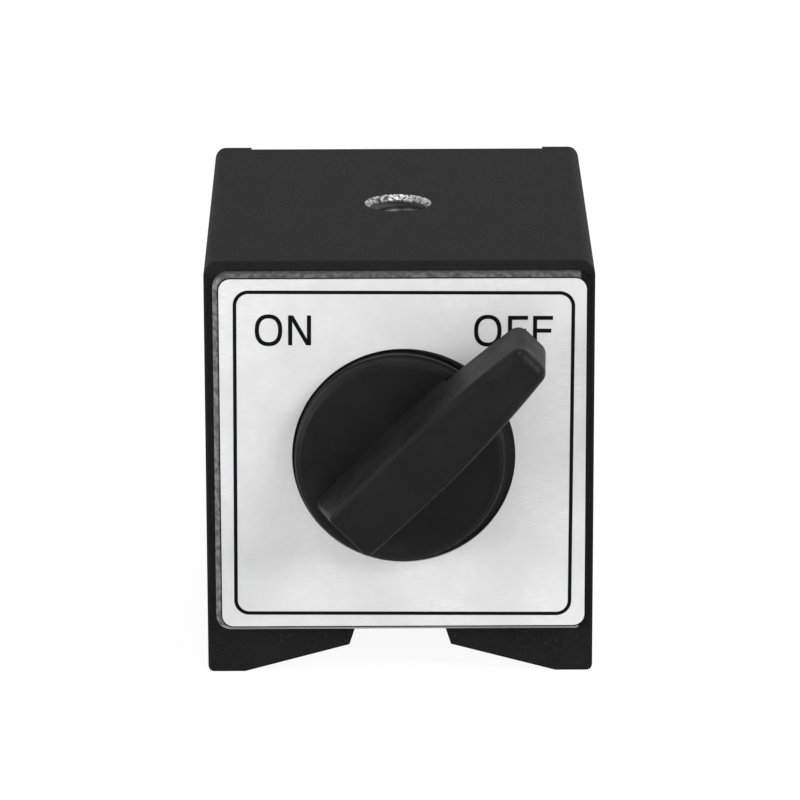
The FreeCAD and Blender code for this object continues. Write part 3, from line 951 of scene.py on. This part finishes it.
@dataclass
class Dial:
    """Front cover, the dial plate on it, and the plate's film and print."""

    film_width: float = 0.3 * MM
    film_show: float = 0.14 * MM
    film_drop: float = 0.08 * MM
    film_thickness: float = 0.1 * MM
    film_gap: float = 0.001 * MM
    plate_corner: float = 1.5 * MM
    ink: float = 0.02 * MM
    line_width: float = 0.46 * MM
    line_corner: float = 1.75 * MM
    line_x: Pair = (-21.12 * MM, 22.02 * MM)
    line_z: Pair = (8.59 * MM, 51.74 * MM)
    letter_foot: float = 44.725 * MM
    on_lefts: Pair = (-18.54 * MM, -14.3 * MM)
    off_lefts: tuple[float, ...] = (9.4 * MM, 13.71 * MM, 16.9 * MM)
    o_width: float = 3.5 * MM
    n_width: float = 2.93 * MM
    f_width: float = 2.55 * MM
    print_turn: float = 0.34
    letters: Lettering = field(default_factory=Lettering)

    def build(self) -> None:
        """Dress the cover and the plate, then lay the film and the print."""
        dress(COVER_SKIN, "front_cover")
        dress(DIAL_PLATE, "dial_plate")
        low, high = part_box("dial_plate")
        self.film(low, high)
        self.frame_line(low.y)
        letter_o = self.letters.letter_o(self.o_width)
        letter_n = self.letters.letter_n(self.n_width)
        letter_f = self.letters.letter_f(self.f_width)
        self.word("print_on", zip(self.on_lefts, (letter_o, letter_n)), low.y)
        self.word("print_off", zip(self.off_lefts, (letter_o, letter_f, letter_f)), low.y)

    def loop(
        self, name: str, limits_x: Pair, limits_z: Pair, y: float, sizes: Pair, corner: float,
        finish: Finish, turned: bool = False,
    ) -> None:
        """Make one flat line round a rectangle.

        Args:
            name: Name of the piece.
            limits_x: Left and right of the line's middle.
            limits_z: Bottom and top of the line's middle.
            y: Middle of its thickness.
            sizes: Width and thickness of the line.
            corner: Corner radius of its middle.
            finish: Its finish.
            turned: Whether it turns with the print.
        """
        values = {
            "Width": limits_x[1] - limits_x[0],
            "Height": limits_z[1] - limits_z[0],
            "Corner Radius": corner,
            "Line Width": sizes[0],
            "Thickness": sizes[1],
            "Centre X": sum(limits_x) / 2,
            "Centre Y": y,
            "Centre Z": sum(limits_z) / 2,
        }
        mesh = Recipe(name, values, rounded_loop, finish).mesh()
        if turned:
            mesh.transform(self.turn())
        add_piece(name, face_outwards(mesh), Rider.BASE)

    def turn(self) -> Matrix:
        """Turn the whole print by print_turn, in degrees, about the plate's middle.

        Returns:
            The turn as a matrix.
        """
        low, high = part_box("dial_plate")
        middle = (low + high) / 2
        spin = Matrix.Rotation(math.radians(self.print_turn), 4, "Y")
        return Matrix.Translation(middle) @ spin @ Matrix.Translation(-middle)

    def film(self, low: Vector, high: Vector) -> None:
        """Dark film that shows as a thin line round the dial plate's edge.

        Args:
            low: Lowest corner of the dial plate.
            high: Highest corner of the dial plate.
        """
        inset = self.film_width / 2 - self.film_show
        limits_x = (low.x + inset, high.x - inset)
        limits_z = (low.z + inset - self.film_drop, high.z - inset)
        middle = high.y - self.film_thickness / 2 - self.film_gap
        sizes = (self.film_width, self.film_thickness)
        self.loop("dial_film", limits_x, limits_z, middle, sizes, self.plate_corner - inset, EDGE_FILM)

    def frame_line(self, face: float) -> None:
        """Printed line with rounded corners near the dial plate's edge.

        Args:
            face: The plate's face along Y.
        """
        sizes = (self.line_width, self.ink)
        middle = face - self.ink / 2
        self.loop(
            "print_frame", self.line_x, self.line_z, middle, sizes, self.line_corner, PRINT_INK, turned=True
        )

    def word(self, name: str, parts: Iterable[tuple[float, list[list[Point]]]], face: float) -> None:
        """Lay one printed word on the dial plate.

        Args:
            name: Name of the piece.
            parts: Left side and outlines of each letter.
            face: The plate's face along Y.
        """
        drawing = bpy.data.curves.new(name, "CURVE")
        drawing.dimensions = "2D"
        drawing.fill_mode = "BOTH"
        drawing.extrude = self.ink / 2
        for left, loops in parts:
            for loop in loops:
                spline = drawing.splines.new("POLY")
                spline.points.add(len(loop) - 1)
                for point, (x, z) in zip(spline.points, loop):
                    point.co = (left + x, self.letter_foot + z, 0, 1)
                spline.use_cyclic_u = True
        carrier = bpy.data.objects.new(name, drawing)
        bpy.context.scene.collection.objects.link(carrier)
        view = bpy.context.evaluated_depsgraph_get()
        mesh = bpy.data.meshes.new_from_object(carrier.evaluated_get(view), depsgraph=view)
        bpy.data.objects.remove(carrier)
        stand = Matrix.Translation((0, face - self.ink / 2, 0)) @ Matrix.Rotation(math.pi / 2, 4, "X")
        mesh.transform(self.turn() @ stand)
        mesh.materials.clear()
        mesh.materials.append(PRINT_INK.material())
        add_piece(name, face_outwards(mesh, merge=SEAM_GAP), Rider.BASE)


@dataclass
class Knob:
    """The moulded knob with its disc and lever."""

    def build(self) -> None:
        """Dress the knob, with painted fill light on the shaded flange behind the dial."""
        low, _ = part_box("dial_plate")
        dress(replace(KNOB_PLASTIC, fill_light_from=low.y), "knob")


@dataclass
class Rotor:
    """The magnet rotor inside the block."""

    caps: tuple[str, ...] = ("front_end_cap", "rear_end_cap")
    poles: tuple[str, ...] = ("upper_rotor_pole", "lower_rotor_pole")
    magnets: tuple[str, ...] = ("magnet_block_front", "magnet_block_middle", "magnet_block_rear")
    screws: tuple[str, ...] = ("front_cap_screws", "rear_cap_screws")

    def build(self) -> None:
        """Dress the rotor's pieces."""
        dress(TURNED_BRASS, *self.caps)
        dress(SOFT_IRON, *self.poles)
        dress(MAGNET_ALLOY, *self.magnets)
        dress(ZINC_STEEL, *self.screws)


@dataclass
class Closures:
    """Rear cover, thrust washer, screws and the stop pin."""

    def build(self) -> None:
        """Dress the closing pieces."""
        dress(SHEET_PAINT, "rear_cover")
        dress(BLACK_STEEL, "rear_cover_screws", "front_cover_screws")
        dress(TURNED_BRASS, "thrust_washer")
        dress(PIN_STEEL, "stop_pin")


@dataclass(frozen=True)
class Lamp:
    """One soft square lamp that looks at the object, and that shiny surfaces mirror or don't."""

    name: str
    place: Place
    size: float
    power: float
    mirrored: bool = True

    def build(self, aim: Vector) -> None:
        """Hang the lamp and turn it to a point.

        Args:
            aim: The point that it looks at.
        """
        data = bpy.data.lights.new(self.name, "AREA")
        data.size = self.size
        data.energy = self.power
        lamp = bpy.data.objects.new(self.name, data)
        lamp.location = self.place
        lamp.visible_glossy = self.mirrored
        lamp.rotation_euler = (aim - Vector(self.place)).to_track_quat("-Z", "Y").to_euler()
        bpy.context.scene.collection.objects.link(lamp)


@dataclass
class Studio:
    """White floor, pale world, soft lamps and the camera, whose angles are in degrees."""

    lens: float = 246.35
    sensor: float = 36.0
    clip: Pair = (0.01, 50.0)
    target: Place = (0.046 * MM, -22.6 * MM, 36.842 * MM)
    distance: float = 702.35 * MM
    pitch: float = 17.027
    yaw: float = -0.284
    roll: float = -0.143
    floor_half: float = 3.0
    floor_level: float = 0.85
    floor_glow: float = 1.1
    floor_share: float = 0.85
    ambient: float = 0.16
    lamp_aim: Place = (0.0, 0.0, 30.0 * MM)
    lamps: tuple[Lamp, ...] = (
        Lamp("left_lamp", (-0.8, -0.48, 0.14), 0.55, 8.0),
        Lamp("right_lamp", (0.76, -0.43, 0.5), 0.5, 7.5),
        Lamp("top_lamp", (0.0, -0.35, 1.0), 0.5, 2.55),
        Lamp("rear_lamp", (0.25, 0.95, 0.45), 0.6, 4.0, mirrored=False),
    )

    def build(self) -> None:
        """Set the whole studio."""
        view = bpy.context.scene.view_settings
        view.view_transform = "Standard"
        self.world()
        self.floor()
        for lamp in self.lamps:
            lamp.build(Vector(self.lamp_aim))
        self.camera()

    def seen_rays(self, graph: Graph) -> bpy.types.NodeSocket:
        """One for rays of the camera and for mirrored or refracted ones, else zero.

        Args:
            graph: Graph of the world or of a material.

        Returns:
            The share, one or zero.
        """
        path = graph.add("ShaderNodeLightPath")
        either = graph.maths("MAXIMUM", path.outputs["Is Camera Ray"], path.outputs["Is Glossy Ray"])
        return graph.maths("MAXIMUM", either, path.outputs["Is Transmission Ray"])

    def world(self) -> None:
        """White where it is seen, dimmer where it lights."""
        world = bpy.data.worlds.new("studio_world")
        world.use_nodes = True
        graph = Graph(world.node_tree)
        strength = graph.ramp(self.seen_rays(graph), (0, 1), (self.ambient, 1.0))
        sky = graph.add("ShaderNodeBackground", {"Color": grey(1.0), "Strength": strength})
        graph.add("ShaderNodeOutputWorld", {"Surface": sky.outputs["Background"]})
        bpy.context.scene.world = world

    def floor(self) -> None:
        """Pale floor that is near white to the camera and keeps a soft shadow."""
        half = self.floor_half
        mesh = bpy.data.meshes.new("studio_floor")
        corners = [(-half, -half, 0), (half, -half, 0), (half, half, 0), (-half, half, 0)]
        mesh.from_pydata(corners, [], [(0, 1, 2, 3)])
        floor = bpy.data.objects.new("studio_floor", mesh)
        bpy.context.scene.collection.objects.link(floor)
        material = bpy.data.materials.new("studio_white")
        material.use_nodes = True
        graph = Graph(material.node_tree)
        diffuse = graph.add("ShaderNodeBsdfDiffuse", {"Color": grey(self.floor_level)})
        glow = graph.add("ShaderNodeEmission", {"Color": grey(1.0), "Strength": self.floor_glow})
        share = graph.maths("MULTIPLY", self.seen_rays(graph), self.floor_share)
        mixed = graph.add("ShaderNodeMixShader", {0: share, 1: diffuse.outputs[0], 2: glow.outputs[0]})
        graph.add("ShaderNodeOutputMaterial", {"Surface": mixed.outputs[0]})
        mesh.materials.append(material)

    def camera(self) -> None:
        """Camera at the photograph's angle, with the turn about its own axis."""
        pitch, yaw, roll = (math.radians(angle) for angle in (self.pitch, self.yaw, self.roll))
        level = math.cos(pitch)
        back = Vector((math.sin(yaw) * level, -math.cos(yaw) * level, math.sin(pitch)))
        right = (-back).cross(Vector((0, 0, 1))).normalized()
        up = right.cross(-back)
        turned_right = right * math.cos(roll) + up * math.sin(roll)
        turned_up = up * math.cos(roll) - right * math.sin(roll)
        data = bpy.data.cameras.new("studio_camera")
        data.lens = self.lens
        data.sensor_width = self.sensor
        data.clip_start, data.clip_end = self.clip
        camera = bpy.data.objects.new("studio_camera", data)
        turn = Matrix((turned_right, turned_up, back)).transposed().to_4x4()
        camera.matrix_world = Matrix.Translation(Vector(self.target) + back * self.distance) @ turn
        bpy.context.scene.collection.objects.link(camera)
        bpy.context.scene.camera = camera


def main() -> None:
    """Dress the frame, make the missing pieces and set the studio."""
    logging.basicConfig(level=logging.INFO, format="%(name)s: %(message)s")
    for part in (Block(), Dial(), Knob(), Rotor(), Closures(), Studio()):
        part.build()


if __name__ == "__main__":
    main()
